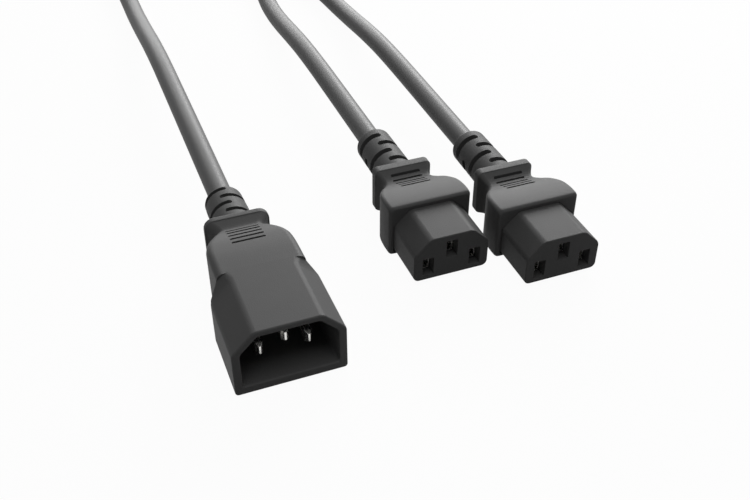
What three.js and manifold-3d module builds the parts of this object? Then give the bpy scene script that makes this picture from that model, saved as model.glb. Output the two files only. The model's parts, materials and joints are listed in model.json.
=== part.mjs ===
// In-line power cord splitter: one male plug feeds two female sockets through a moulded Y junction.
// Millimetres, +Z up. The plug's flat base is centred on the origin, and the mating faces look along -Y.
import * as THREE from "three";
import { mergeVertices } from "three/addons/utils/BufferGeometryUtils.js";
import Module from "manifold-3d";

const wasm = await Module();
wasm.setup();

// Clearance between pieces that meet.
const gap = 0.3;

// Flexible cords and the insulated conductors inside them.
const cordRadius = 3.8;
const coreRadius = 1.2;
const coreOffset = 1.7;
const cordSides = 10;
const coreSides = 6;

// Male plug: hooded front with a recess, then a narrower body.
const hoodWidth = 31.3;
const hoodHeight = 20.8;
const hoodDepth = 26;
const hoodChamferX = 5.5;
const hoodChamferZ = 6.3;
const hoodCorner = 1.2;
const hoodRearSlope = 3;
const hoodRearChamfer = 1.7;
const recessWidth = 26.6;
const recessHeight = 16.1;
const recessFloor = 2.8;
const recessDepth = 17;
const recessChamferX = 6.1;
const recessChamferZ = 5.4;
const recessCorner = 1;
const bladeWidth = 2;
const bladeHeight = 4;
const bladeTip = 5.5;
const bladeSpread = 6.8;
const bladeStagger = 2;
const bladeRear = 31;
const bladeBevel = 0.4;
const bladeBevelHeight = 0.7;
const bladeBevelLength = 1.6;
const carrierDepth = 9;
const carrierHeight = 11.6;
const plugAxis = 10.9;
const plugJacketEnd = 46;

// Female socket: rigid nose insert with three slots, held in a soft body.
const noseWidth = 24.1;
const noseHeight = 14.55;
const noseLength = 16;
const noseTail = 6;
const noseChamferX = 5.25;
const noseChamferZ = 5.15;
const noseCorner = 1.1;
const slotWidth = 3.6;
const slotHeight = 6.1;
const slotSpread = 7.5;
const slotLow = 4.75;
const slotHigh = 9.5;
const contactWall = 0.4;
const contactSetback = 3;
const contactRear = 22.5;
const noseLift = 1.5;
const socketAxis = 7.8;
const socketJacketEnd = 36;

// Crimp barrels behind the blades and contacts.
const barrelRadius = 2.2;
const barrelLength = 5.5;

// Where each connector's front face stands on the ground plane.
const plugPlace = [0, -hoodDepth / 2, 0];
const socketPlaces = { a: [57.1, 11.3, noseLift], b: [87.2, -1.5, noseLift] };

// Body stations behind the hood or the nose: distance from the front face, half width, top, bottom.
const plugStations = [
  [25.5, 12.75, 20.75, 0.5],
  [33, 12.75, 20.6, 0.6],
  [38, 12.6, 20.2, 0.7],
  [41, 11.9, 19.8, 0.9],
  [43.5, 10.8, 19.2, 1.2],
  [46, 9.3, 18.4, 1.7],
  [48.3, 7.9, 17.4, 2.3],
  [50, 7.4, 16.9, 2.6],
  [53.2, 9.6, 18, 1.5],
];
const plugCorner = 2.2;
const socketStations = [
  [16, 12.7, 15.6, -0.7],
  [16.4, 13.2, 16.1, -1.2],
  [17.3, 13.5, 16.4, -1.5],
  [21, 13.55, 16.3, -1.5],
  [25, 13.1, 15.8, -1.5],
  [28.5, 11.5, 14.9, -1.1],
  [31, 9.6, 13.8, -0.3],
  [33.5, 8.3, 12.9, 0.5],
  [35.5, 8.1, 13.1, 0.6],
  [38.2, 9.4, 14.9, -0.3],
];
const socketCorner = 1.2;
const stationSteps = 15;

// Grip plate and slotted strain relief at the rear of each connector.
const plugGrip = { start: 53, end: 55.2, half: 9.9, top: 18.2, bottom: 1.2, corner: 3.2 };
const socketGrip = { start: 38.1, end: 41.3, half: 9.6, top: 15.1, bottom: -0.5, corner: 1.8 };
const plugRelief = { end: 72.8, root: 6.45, tip: 6.05, round: 2, firstRow: 58.75, pitch: 3.88, slot: 1.65 };
const socketRelief = { end: 64.8, root: 6.35, tip: 6.15, round: 0.8, firstRow: 45.4, pitch: 5.02, slot: 2.2 };
const reliefRows = 4;
const reliefSlotArc = 118;
const reliefSlotFloor = 4.8;
const reliefPhase = 50;

// Y junction, on the ground plane well behind the connectors.
const junctionPlace = [72.15, 282, 0];
const junctionLength = 46;
const junctionAxis = 7.5;
const junctionTrunkHalf = 9.5;
const junctionTop = 15;
const junctionCorner = 3;
const legSpread = 8;
const junctionWall = 4.7;
const junctionLegHalf = legSpread + cordRadius + junctionWall;
const legJacketEnd = 2;
const trunkJacketEnd = 43;
const junctionRelief = { length: 15, root: 6.4, tip: 5.4, slot: 1.3, pitch: 4.2, rows: 3 };
const spliceWidth = 4.4;
const spliceHeight = 7.4;
const spliceLength = 9;
const spliceSpread = 5.2;
const spliceStart = 22;
const coreFan = 3.4;

// Routes of the cords' centre lines, from inside one piece to inside the next.
const trunkRoute = [
  [plugPlace[0], plugPlace[1] + plugJacketEnd, plugAxis],
  [0, 60, 10.9],
  [0, 85, 10.9],
  [0, 112, 10.9],
  [0, 140, 10.8],
  [0, 160, 10.5],
  [0, 180, 9],
  [0, 200, 6.4],
  [0, 220, 4.4],
  [0, 240, 3.95],
  [-0.3, 265, 3.9],
  [-0.6, 290, 3.9],
  [-0.6, 318, 3.9],
  [-0.2, 342, 3.9],
  [1.8, 360, 3.9],
  [7.6, 376.5, 3.9],
  [18, 389, 3.9],
  [31.5, 395.2, 3.9],
  [46, 394.4, 4],
  [59, 387, 4.4],
  [68, 374.5, 5.4],
  [71.7, 361, 6.8],
  [72.15, 349, 7.5],
  [72.15, 338, 7.5],
  [junctionPlace[0], junctionPlace[1] + trunkJacketEnd, junctionAxis],
];
const legRoutes = {
  a: [
    [socketPlaces.a[0], socketPlaces.a[1] + socketJacketEnd, noseLift + socketAxis],
    [57.1, 72, 9.3],
    [57.1, 95, 9.3],
    [57.1, 118, 9.3],
    [57.1, 138, 9.2],
    [57.1, 156, 8.6],
    [57.15, 172, 7.2],
    [57.3, 187, 5.5],
    [57.7, 201, 4.3],
    [58.6, 214, 3.9],
    [60.2, 227, 4.1],
    [62.1, 239, 5],
    [63.5, 250, 6.4],
    [64.1, 259, 7.3],
    [64.15, 267, 7.5],
    [64.15, 276, 7.5],
    [junctionPlace[0] - legSpread, junctionPlace[1] + legJacketEnd, junctionAxis],
  ],
  b: [
    [socketPlaces.b[0], socketPlaces.b[1] + socketJacketEnd, noseLift + socketAxis],
    [87.2, 60, 9.3],
    [87.2, 84, 9.3],
    [87.2, 107, 9.3],
    [87.2, 128, 9.2],
    [87.2, 146, 8.7],
    [87.15, 163, 7.4],
    [87, 180, 5.6],
    [86.6, 197, 4.3],
    [85.7, 213, 3.9],
    [84.1, 227, 4.1],
    [82.2, 239, 5],
    [80.8, 250, 6.4],
    [80.2, 259, 7.3],
    [80.15, 267, 7.5],
    [80.15, 276, 7.5],
    [junctionPlace[0] + legSpread, junctionPlace[1] + legJacketEnd, junctionAxis],
  ],
};
const cordStep = 17;

const poles = ["line", "earth", "neutral"];
const looks = {
  shell: { color: 0x3a3a3a, roughness: 0.6, metalness: 0 },
  carrier: { color: 0x343434, roughness: 0.5, metalness: 0 },
  cord: { color: 0x404040, roughness: 0.45, metalness: 0 },
  metal: { color: 0xe4e3df, roughness: 0.3, metalness: 1 },
  line: { color: 0x242424, roughness: 0.5, metalness: 0 },
  neutral: { color: 0xe2e2de, roughness: 0.5, metalness: 0 },
  earth: { color: 0x3d9a57, roughness: 0.5, metalness: 0 },
};

function toSolid(geometry) {
  const bare = geometry.clone();
  bare.deleteAttribute("normal");
  bare.deleteAttribute("uv");
  const merged = mergeVertices(bare, 1e-4);
  return new wasm.Manifold(
    new wasm.Mesh({
      numProp: 3,
      vertProperties: new Float32Array(merged.attributes.position.array),
      triVerts: new Uint32Array(merged.index.array),
    }),
  );
}

function toGeometry(manifold) {
  const mesh = manifold.getMesh();
  const geometry = new THREE.BufferGeometry();
  geometry.setAttribute("position", new THREE.BufferAttribute(mesh.vertProperties, 3));
  geometry.setIndex(new THREE.BufferAttribute(mesh.triVerts, 1));
  return geometry;
}

const join = (...solids) => solids.reduce((sum, next) => sum.add(next));
const carve = (solid, ...tools) => tools.reduce((rest, tool) => rest.subtract(tool), solid);

// Convex outline of [x, z] corners, anticlockwise seen from the front, with each corner rounded.
function roundOutline(corners, radius, steps = 3) {
  const count = corners.length;
  const at = (i) => new THREE.Vector2(...corners[(i + count) % count]);
  const outline = [];
  for (let i = 0; i < count; i += 1) {
    const before = at(i).sub(at(i - 1)).normalize();
    const after = at(i + 1).sub(at(i)).normalize();
    const normalIn = new THREE.Vector2(before.y, -before.x);
    const normalOut = new THREE.Vector2(after.y, -after.x);
    const reach = radius / (1 + normalIn.dot(normalOut));
    const centre = at(i).addScaledVector(normalIn, -reach).addScaledVector(normalOut, -reach);
    const turn = Math.atan2(normalIn.cross(normalOut), normalIn.dot(normalOut));
    for (let k = 0; k <= steps; k += 1) {
      const angle = normalIn.angle() + (turn * k) / steps;
      outline.push([centre.x + radius * Math.cos(angle), centre.y + radius * Math.sin(angle)]);
    }
  }
  return outline;
}

const boxCorners = (half, bottom, top) => [
  [-half, bottom],
  [half, bottom],
  [half, top],
  [-half, top],
];

const hexCorners = (width, height, chamferX, chamferZ, bottom = 0) => [
  [-width / 2, bottom],
  [width / 2, bottom],
  [width / 2, bottom + height - chamferZ],
  [width / 2 - chamferX, bottom + height],
  [-width / 2 + chamferX, bottom + height],
  [-width / 2, bottom + height - chamferZ],
];

// Closed skin through convex outlines at rising distances along +Y.
function loft(sections) {
  const count = sections[0].outline.length;
  const positions = sections.flatMap(({ y, outline }) => outline.flatMap(([x, z]) => [x, y, z]));
  const index = [];
  for (let s = 0; s + 1 < sections.length; s += 1) {
    for (let i = 0; i < count; i += 1) {
      const a = s * count + i;
      const b = s * count + ((i + 1) % count);
      index.push(a, b + count, b, a, a + count, b + count);
    }
  }
  const last = (sections.length - 1) * count;
  for (let i = 1; i + 1 < count; i += 1) {
    index.push(0, i, i + 1);
    index.push(last, last + i + 1, last + i);
  }
  const geometry = new THREE.BufferGeometry();
  geometry.setAttribute("position", new THREE.Float32BufferAttribute(positions, 3));
  geometry.setIndex(index);
  return toSolid(geometry);
}

const prism = (outline, start, end) =>
  loft([
    { y: start, outline },
    { y: end, outline },
  ]);

const block = (half, bottom, top, start, end) => prism(boxCorners(half, bottom, top), start, end);

function slab(centreX, centreZ, width, height, start, end) {
  const geometry = new THREE.BoxGeometry(width, end - start, height);
  return toSolid(geometry.translate(centreX, (start + end) / 2, centreZ));
}

// Solid of revolution about a line along +Y, from [radius, y] pairs that start and end on the axis.
function turned(profile, centreX, centreZ, sides = 20) {
  const points = profile.map(([radius, y]) => new THREE.Vector2(radius, y));
  return toSolid(new THREE.LatheGeometry(points, sides).translate(centreX, 0, centreZ));
}

const rod = (radius, start, end, centreX, centreZ, sides = 16) =>
  turned(
    [
      [0, start],
      [radius, start],
      [radius, end],
      [0, end],
    ],
    centreX,
    centreZ,
    sides,
  );

// Part of a flat ring about a line along +Y, used to cut one relief slot.
function ringSector(inner, outer, start, end, fromAngle, arc, centreX, centreZ) {
  const low = THREE.MathUtils.degToRad(fromAngle);
  const high = THREE.MathUtils.degToRad(fromAngle + arc);
  const shape = new THREE.Shape();
  shape.absarc(0, 0, outer, low, high, false);
  shape.absarc(0, 0, inner, high, low, true);
  const options = { depth: end - start, bevelEnabled: false, curveSegments: 5 };
  const geometry = new THREE.ExtrudeGeometry(shape, options);
  return toSolid(geometry.rotateX(Math.PI / 2).translate(centreX, end, centreZ));
}

// Rows of two opposite slots, each row a quarter turn from the one before it.
function reliefSlots(rows, firstRow, pitch, slot, outer, centreX, centreZ) {
  const tools = [];
  for (let row = 0; row < rows; row += 1) {
    const middle = firstRow + row * pitch;
    const rib = reliefPhase + 90 * ((row + 1) % 2);
    for (const turn of [0, 180]) {
      const from = rib + turn + (180 - reliefSlotArc) / 2;
      const [start, end] = [middle - slot / 2, middle + slot / 2];
      tools.push(
        ringSector(reliefSlotFloor, outer, start, end, from, reliefSlotArc, centreX, centreZ),
      );
    }
  }
  return tools;
}

// Body skin interpolated smoothly through the stations.
function stationBody(stations, corner) {
  const widths = new THREE.SplineCurve(stations.map(([y, half]) => new THREE.Vector2(y, half)));
  const tops = new THREE.SplineCurve(stations.map(([y, , top]) => new THREE.Vector2(y, top)));
  const floors = new THREE.SplineCurve(stations.map(([y, , , low]) => new THREE.Vector2(y, low)));
  const lowest = Math.min(...stations.map(([, , , low]) => low));
  const sections = [];
  for (let k = 0; k <= stationSteps; k += 1) {
    const t = k / stationSteps;
    const { x: y, y: half } = widths.getPoint(t);
    const floor = Math.max(lowest, floors.getPoint(t).y);
    const corners = boxCorners(half, floor, tops.getPoint(t).y);
    sections.push({ y, outline: roundOutline(corners, corner) });
  }
  return loft(sections);
}

// Body, grip plate and slotted relief moulded as one piece.
function overmould(stations, corner, grip, relief, axis) {
  const plate = roundOutline(boxCorners(grip.half, grip.bottom, grip.top), grip.corner);
  const { root, tip, round, end } = relief;
  const sleeve = turned(
    [
      [0, grip.start],
      [root, grip.start],
      [root, grip.end],
      [tip, end - round],
      [tip - round * (1 - Math.SQRT1_2), end - round * (1 - Math.SQRT1_2)],
      [tip - round, end],
      [0, end],
    ],
    0,
    axis,
  );
  const slots = reliefSlots(
    reliefRows, relief.firstRow, relief.pitch, relief.slot, root + 2, 0, axis,
  );
  const body = join(stationBody(stations, corner), prism(plate, grip.start, grip.end), sleeve);
  return carve(body, ...slots);
}

function addPiece(group, name, solid, look) {
  const material = new THREE.MeshStandardMaterial(look);
  const mesh = new THREE.Mesh(toGeometry(solid), material);
  mesh.name = name;
  group.add(mesh);
  return mesh;
}

// Round tube along a smooth curve through the given points.
function tube(points, radius, sides, steps) {
  const curve = new THREE.CatmullRomCurve3(points.map((p) => new THREE.Vector3(...p)));
  const shape = new THREE.Shape();
  for (let i = 0; i < sides; i += 1) {
    const angle = (2 * Math.PI * (i + 0.5)) / sides;
    const [x, y] = [radius * Math.cos(angle), radius * Math.sin(angle)];
    if (i === 0) shape.moveTo(x, y);
    else shape.lineTo(x, y);
  }
  const count = steps ?? Math.round(curve.getLength() / cordStep);
  return toSolid(new THREE.ExtrudeGeometry(shape, { steps: count, extrudePath: curve }));
}

// Place of one conductor in the cord's cross-section, as [x, z] from the cord's axis.
function corePlace(pole, up = 1) {
  const angle = Math.PI / 2 + ((poles.indexOf(pole) - 1) * 2 * -Math.PI) / 3;
  return [coreOffset * Math.cos(angle), up * coreOffset * Math.sin(angle)];
}

// Insulated conductor from the end of a connector's cord to the barrel of its blade or contact.
function connectorCore(pole, jacketEnd, axis, barrelX, barrelZ, barrelEnd) {
  const [x, z] = corePlace(pole);
  const mouth = barrelEnd - 3;
  return tube(
    [
      [x, jacketEnd - gap, axis + z],
      [x * 1.1, jacketEnd - gap - 1.2, axis + z * 1.1],
      [barrelX, barrelEnd + 0.8, barrelZ],
      [barrelX, mouth, barrelZ],
    ],
    coreRadius,
    coreSides,
    7,
  );
}

// Hollow crimp barrel, open to the rear.
function barrel(start, centreX, centreZ) {
  const outer = rod(barrelRadius, start, start + barrelLength, centreX, centreZ, 16);
  const bore = rod(coreRadius + gap, start + 1, start + barrelLength + 1, centreX, centreZ, 16);
  return carve(outer, bore);
}

const recessMiddle = recessFloor + recessHeight / 2;
const bladePlaces = {
  line: [-bladeSpread, recessMiddle - bladeStagger],
  earth: [0, recessMiddle + bladeStagger],
  neutral: [bladeSpread, recessMiddle - bladeStagger],
};
const slotPlaces = {
  line: [-slotSpread, slotLow],
  earth: [0, slotHigh],
  neutral: [slotSpread, slotLow],
};

// Chamber behind the blades or contacts, narrowing to the cord's bore.
function coreChamber(start, straight, end, half, bottom, top, axis) {
  const wide = boxCorners(half, bottom, top);
  const neck = boxCorners(cordRadius + 0.6, axis - cordRadius, axis + cordRadius);
  return loft([
    { y: start, outline: wide },
    { y: straight, outline: wide },
    { y: end, outline: neck },
  ]);
}

function makePlug() {
  const group = new THREE.Group();
  const front = hexCorners(hoodWidth, hoodHeight, hoodChamferX, hoodChamferZ);
  const rear = hexCorners(2 * plugStations[0][1], hoodHeight, hoodRearChamfer, hoodRearChamfer);
  const hood = loft([
    { y: 0, outline: roundOutline(front, hoodCorner) },
    { y: hoodDepth - hoodRearSlope, outline: roundOutline(front, hoodCorner) },
    { y: hoodDepth, outline: roundOutline(rear, hoodCorner) },
  ]);
  const recess = prism(
    roundOutline(
      hexCorners(recessWidth, recessHeight, recessChamferX, recessChamferZ, recessFloor),
      recessCorner,
    ),
    -1,
    recessDepth,
  );
  const pocketHalf = bladeSpread + barrelRadius + 1.4;
  const pocketLow = recessMiddle - carrierHeight / 2;
  const pocketHigh = recessMiddle + carrierHeight / 2;
  const pocketEnd = recessDepth + carrierDepth;
  const pocket = block(pocketHalf, pocketLow, pocketHigh, recessDepth - 1, pocketEnd + gap);
  const barrelEnd = bladeRear + barrelLength;
  const chamber = coreChamber(
    pocketEnd, barrelEnd + 1, plugJacketEnd + 0.5, pocketHalf, pocketLow, pocketHigh, plugAxis,
  );
  const bore = rod(cordRadius + gap, plugJacketEnd - 1, plugRelief.end + 1, 0, plugAxis);
  const body = join(hood, overmould(plugStations, plugCorner, plugGrip, plugRelief, plugAxis));
  addPiece(group, "plug_shell", carve(body, recess, pocket, chamber, bore), looks.shell);

  const carrier = block(
    pocketHalf - gap, pocketLow + gap, pocketHigh - gap, recessDepth, pocketEnd - gap,
  );
  const windows = poles.map((pole) =>
    slab(
      ...bladePlaces[pole], bladeWidth + 2 * gap, bladeHeight + 2 * gap, recessDepth - 1, pocketEnd + 1,
    ),
  );
  addPiece(group, "plug_carrier", carve(carrier, ...windows), looks.carrier);

  for (const pole of poles) {
    const [x, z] = bladePlaces[pole];
    const [low, high] = [z - bladeHeight / 2, z + bladeHeight / 2];
    const full = boxCorners(bladeWidth / 2, low, high);
    const tip = boxCorners(bladeWidth / 2 - bladeBevel, low + bladeBevelHeight, high - bladeBevelHeight);
    const shift = (outline) => outline.map(([a, b]) => [a + x, b]);
    const blade = loft([
      { y: bladeTip, outline: shift(tip) },
      { y: bladeTip + bladeBevelLength, outline: shift(full) },
      { y: bladeRear + 0.9, outline: shift(full) },
    ]);
    addPiece(group, `plug_blade_${pole}`, join(blade, barrel(bladeRear, x, z)), looks.metal);
    const core = connectorCore(pole, plugJacketEnd, plugAxis, x, z, barrelEnd);
    addPiece(group, `plug_core_${pole}`, core, looks[pole]);
  }
  group.position.set(...plugPlace);
  return group;
}

function makeSocket(side) {
  const group = new THREE.Group();
  const place = socketPlaces[side];
  const noseCorners = hexCorners(noseWidth, noseHeight, noseChamferX, noseChamferZ);
  const pocketCorners = hexCorners(
    noseWidth + 2 * gap, noseHeight + 2 * gap, noseChamferX, noseChamferZ, -gap,
  );
  const insertEnd = noseLength + noseTail;
  const pocket = prism(roundOutline(pocketCorners, noseCorner + gap), noseLength - 1, insertEnd + gap);
  const barrelEnd = contactRear + barrelLength;
  const chamber = coreChamber(
    insertEnd, barrelEnd + 0.3, socketJacketEnd + 0.5, slotSpread + barrelRadius + gap,
    slotLow - slotHeight / 2, slotHigh + slotHeight / 2, socketAxis,
  );
  const bore = rod(cordRadius + gap, socketJacketEnd - 1, socketRelief.end + 1, 0, socketAxis);
  const body = overmould(socketStations, socketCorner, socketGrip, socketRelief, socketAxis);
  addPiece(group, `socket_${side}_shell`, carve(body, pocket, chamber, bore), looks.shell);

  const nose = prism(roundOutline(noseCorners, noseCorner), 0, insertEnd);
  const channels = poles.map((pole) =>
    slab(...slotPlaces[pole], slotWidth, slotHeight, -1, insertEnd + 1),
  );
  addPiece(group, `socket_${side}_insert`, carve(nose, ...channels), looks.carrier);

  for (const pole of poles) {
    const [x, z] = slotPlaces[pole];
    const [width, height] = [slotWidth - 2 * gap, slotHeight - 2 * gap];
    const sleeve = carve(
      slab(x, z, width, height, contactSetback, contactRear + 0.5),
      slab(x, z, width - 2 * contactWall, height - 2 * contactWall, 0, contactRear - 1),
    );
    const contact = join(sleeve, barrel(contactRear, x, z));
    addPiece(group, `socket_${side}_contact_${pole}`, contact, looks.metal);
    const core = connectorCore(pole, socketJacketEnd, socketAxis, x, z, barrelEnd);
    addPiece(group, `socket_${side}_core_${pole}`, core, looks[pole]);
  }
  group.position.set(...place);
  return group;
}

function makeJunction() {
  const group = new THREE.Group();
  const { length: reach, root, tip, slot, pitch, rows } = junctionRelief;
  const outlineAt = (half, inset) =>
    roundOutline(boxCorners(half - inset, inset, junctionTop - inset), junctionCorner);
  const body = loft([
    { y: 0, outline: outlineAt(junctionLegHalf, 1) },
    { y: 1.5, outline: outlineAt(junctionLegHalf, 0) },
    { y: junctionLength * 0.5, outline: outlineAt(junctionLegHalf - 0.5, 0) },
    { y: junctionLength * 0.72, outline: outlineAt(junctionTrunkHalf + 2.5, 0) },
    { y: junctionLength - 1.5, outline: outlineAt(junctionTrunkHalf, 0) },
    { y: junctionLength, outline: outlineAt(junctionTrunkHalf, 1) },
  ]);
  const legSleeves = [-legSpread, legSpread].map((x) =>
    turned([[0, -reach], [tip, -reach], [root, 1], [root, 4], [0, 4]], x, junctionAxis),
  );
  const far = junctionLength + reach;
  const trunkSleeve = turned(
    [[0, junctionLength - 4], [root, junctionLength - 4], [root, junctionLength - 1], [tip, far], [0, far]],
    0,
    junctionAxis,
  );
  const slots = [-legSpread, legSpread].flatMap((x) =>
    reliefSlots(rows, 2 - reach, pitch, slot, root + 1, x, junctionAxis),
  );
  slots.push(...reliefSlots(rows, far - 2 - (rows - 1) * pitch, pitch, slot, root + 1, 0, junctionAxis));
  const bores = [-legSpread, legSpread].map((x) =>
    rod(cordRadius + gap, -reach - 1, legJacketEnd + 1, x, junctionAxis),
  );
  bores.push(rod(cordRadius + gap, trunkJacketEnd - 1, far + 1, 0, junctionAxis));
  const half = legSpread + cordRadius + 1;
  const rise = spliceHeight / 2 + gap;
  const narrow = spliceSpread + spliceWidth / 2 + gap;
  const spliceEnd = spliceStart + spliceLength;
  const chamber = loft([
    { y: legJacketEnd - 0.5, outline: boxCorners(half, junctionAxis - rise, junctionAxis + rise) },
    { y: spliceStart - 2, outline: boxCorners(half, junctionAxis - rise, junctionAxis + rise) },
    { y: spliceEnd, outline: boxCorners(narrow, junctionAxis - rise, junctionAxis + rise) },
    { y: trunkJacketEnd, outline: boxCorners(cordRadius + 0.6, junctionAxis - rise, junctionAxis + rise) },
  ]);
  const shell = carve(join(body, ...legSleeves, trunkSleeve), ...slots, ...bores, chamber);
  addPiece(group, "junction_shell", shell, looks.shell);

  poles.forEach((pole, i) => {
    const x = (i - 1) * spliceSpread;
    const room = coreRadius + gap;
    const splice = carve(
      slab(x, junctionAxis, spliceWidth, spliceHeight, spliceStart, spliceEnd),
      slab(x, junctionAxis, 2 * room, 2 * (room + coreOffset), spliceStart - 1, spliceStart + 3),
      rod(room, spliceEnd - 3, spliceEnd + 1, x, junctionAxis, 12),
    );
    addPiece(group, `junction_splice_${pole}`, splice, looks.metal);
    const [trunkX, trunkZ] = corePlace(pole);
    const trunkCore = tube(
      [
        [trunkX, trunkJacketEnd - gap, junctionAxis + trunkZ],
        [trunkX, trunkJacketEnd - gap - 1, junctionAxis + trunkZ],
        [x, spliceEnd + 0.5, junctionAxis],
        [x, spliceEnd - 2.5, junctionAxis],
      ],
      coreRadius,
      coreSides,
      7,
    );
    addPiece(group, `junction_core_trunk_${pole}`, trunkCore, looks[pole]);
    for (const [side, sign] of [["a", -1], ["b", 1]]) {
      const [coreX, coreZ] = corePlace(pole, -sign);
      const level = junctionAxis - sign * coreOffset;
      const legCore = tube(
        [
          [sign * legSpread + coreX, legJacketEnd + gap, junctionAxis + coreZ],
          [sign * legSpread + coreX, legJacketEnd + gap + 0.8, junctionAxis + coreZ],
          [sign * legSpread + (i - 1) * coreFan, legJacketEnd + 4.5, level],
          [x, spliceStart - 1.5, level],
          [x, spliceStart + 2.5, level],
        ],
        coreRadius,
        coreSides,
        8,
      );
      addPiece(group, `junction_core_${side}_${pole}`, legCore, looks[pole]);
    }
  });
  group.position.set(...junctionPlace);
  return group;
}

const splitter = new THREE.Group();
splitter.name = "power_cord_splitter";
splitter.add(makePlug(), makeSocket("a"), makeSocket("b"), makeJunction());
addPiece(splitter, "trunk_cord", tube(trunkRoute, cordRadius, cordSides), looks.cord);
for (const side of ["a", "b"]) {
  addPiece(splitter, `leg_${side}_cord`, tube(legRoutes[side], cordRadius, cordSides), looks.cord);
}

export default splitter;
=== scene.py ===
# Power cord splitter: looks for the plug, the two sockets, the junction and the cords.
# Everything is in metres, with +Z up and the mating faces looking along -Y.
import bpy
import bmesh
import json
import math
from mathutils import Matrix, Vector


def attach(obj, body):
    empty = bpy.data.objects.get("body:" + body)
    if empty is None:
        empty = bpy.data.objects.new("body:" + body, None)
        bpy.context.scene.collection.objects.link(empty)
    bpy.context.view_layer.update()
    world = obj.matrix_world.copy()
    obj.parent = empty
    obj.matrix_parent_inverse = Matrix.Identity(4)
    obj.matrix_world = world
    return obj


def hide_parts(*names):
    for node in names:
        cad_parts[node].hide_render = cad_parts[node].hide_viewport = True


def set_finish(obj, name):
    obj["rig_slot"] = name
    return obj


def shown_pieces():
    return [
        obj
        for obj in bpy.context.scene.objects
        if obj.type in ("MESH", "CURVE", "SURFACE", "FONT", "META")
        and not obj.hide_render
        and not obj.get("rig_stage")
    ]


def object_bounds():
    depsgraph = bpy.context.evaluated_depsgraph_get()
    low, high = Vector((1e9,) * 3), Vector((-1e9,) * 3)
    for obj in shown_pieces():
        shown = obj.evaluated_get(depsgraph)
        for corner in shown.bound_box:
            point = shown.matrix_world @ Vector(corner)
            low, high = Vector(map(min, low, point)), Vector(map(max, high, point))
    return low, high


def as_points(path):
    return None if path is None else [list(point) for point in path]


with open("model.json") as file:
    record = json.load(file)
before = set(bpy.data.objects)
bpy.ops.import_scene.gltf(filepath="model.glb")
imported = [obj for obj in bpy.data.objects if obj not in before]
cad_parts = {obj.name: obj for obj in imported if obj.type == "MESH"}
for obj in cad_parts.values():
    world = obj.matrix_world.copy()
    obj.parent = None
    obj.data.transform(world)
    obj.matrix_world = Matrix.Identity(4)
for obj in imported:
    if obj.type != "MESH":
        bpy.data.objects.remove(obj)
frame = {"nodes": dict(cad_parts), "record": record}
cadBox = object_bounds()
mm = 0.001
print("frame loaded:", len(frame["nodes"]), "nodes")


# Camera, at the place and tilt that the photograph was taken from.
cameraSetup = {
    "place": (-43.6, -186.8, 185.7),  # mm
    "tilt": (51.60, 0, -21.07),  # degrees
    "lens": 45.907,  # mm
    "sensor": 36,  # mm wide
    "clip": (0.01, 20),  # metres
}


def placeCamera():
    bpy.ops.object.camera_add(
        location=[v * mm for v in cameraSetup["place"]],
        rotation=[math.radians(v) for v in cameraSetup["tilt"]],
    )
    camera = bpy.context.active_object
    camera.name = "photoCamera"
    camera.data.sensor_width = cameraSetup["sensor"]
    camera.data.lens = cameraSetup["lens"]
    camera.data.clip_start, camera.data.clip_end = cameraSetup["clip"]
    bpy.context.scene.camera = camera


placeCamera()


# Cords: points of each centre line, in mm.
cordDiameter = 7.6
cordRimSteps = 8
cordStretchSteps = 6
cordRoutes = {
    "trunk": [
        (0, 33, 10.9), (0, 60, 10.9), (0, 85, 10.9), (0, 112, 10.9), (0, 140, 10.8),
        (0, 160, 10.5), (0, 180, 9), (0, 200, 6.4), (0, 220, 4.4), (0, 240, 3.95),
        (-0.3, 265, 3.9), (-0.6, 290, 3.9), (-0.6, 318, 3.9), (-0.2, 342, 3.9), (1.8, 360, 3.9),
        (7.6, 376.5, 3.9), (18, 389, 3.9), (31.5, 395.2, 3.9), (46, 394.4, 4), (59, 387, 4.4),
        (68, 374.5, 5.4), (71.7, 361, 6.8), (72.15, 349, 7.5), (72.15, 338, 7.5), (72.15, 325, 7.5),
    ],
    "legA": [
        (57.1, 47.3, 9.3), (57.1, 72, 9.3), (57.1, 95, 9.3), (57.1, 118, 9.3), (57.1, 138, 9.2),
        (57.1, 156, 8.6), (57.15, 172, 7.2), (57.3, 187, 5.5), (57.7, 201, 4.3), (58.6, 214, 3.9),
        (60.2, 227, 4.1), (62.1, 239, 5), (63.5, 250, 6.4), (64.1, 259, 7.3), (64.15, 267, 7.5),
        (64.15, 276, 7.5), (64.15, 284, 7.5),
    ],
    "legB": [
        (87.2, 34.5, 9.3), (87.2, 60, 9.3), (87.2, 84, 9.3), (87.2, 107, 9.3), (87.2, 128, 9.2),
        (87.2, 146, 8.7), (87.15, 163, 7.4), (87, 180, 5.6), (86.6, 197, 4.3), (85.7, 213, 3.9),
        (84.1, 227, 4.1), (82.2, 239, 5), (80.8, 250, 6.4), (80.2, 259, 7.3), (80.15, 267, 7.5),
        (80.15, 276, 7.5), (80.15, 284, 7.5),
    ],
}
cordFacts = {
    "trunk": {"node": "trunk_cord", "exit": (0, 59.8, 10.9)},
    "legA": {"node": "leg_a_cord", "exit": (57.1, 76.1, 9.3)},
    "legB": {"node": "leg_b_cord", "exit": (87.2, 63.3, 9.3)},
}


def catmullPoint(before, start, end, after, t):
    return 0.5 * (
        2 * start
        + (end - before) * t
        + (2 * before - 5 * start + 4 * end - after) * t * t
        + (3 * start - before - 3 * end + after) * t * t * t
    )


# Points of a smooth line through the given ones, several for each stretch between two of them.
def smoothLine(points, perStretch):
    given = [Vector(p) for p in points]
    given = [2 * given[0] - given[1], *given, 2 * given[-1] - given[-2]]
    line = []
    for i in range(1, len(given) - 2):
        for k in range(perStretch):
            line.append(catmullPoint(*given[i - 1:i + 3], k / perStretch))
    return [*line, given[-2]]


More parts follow.
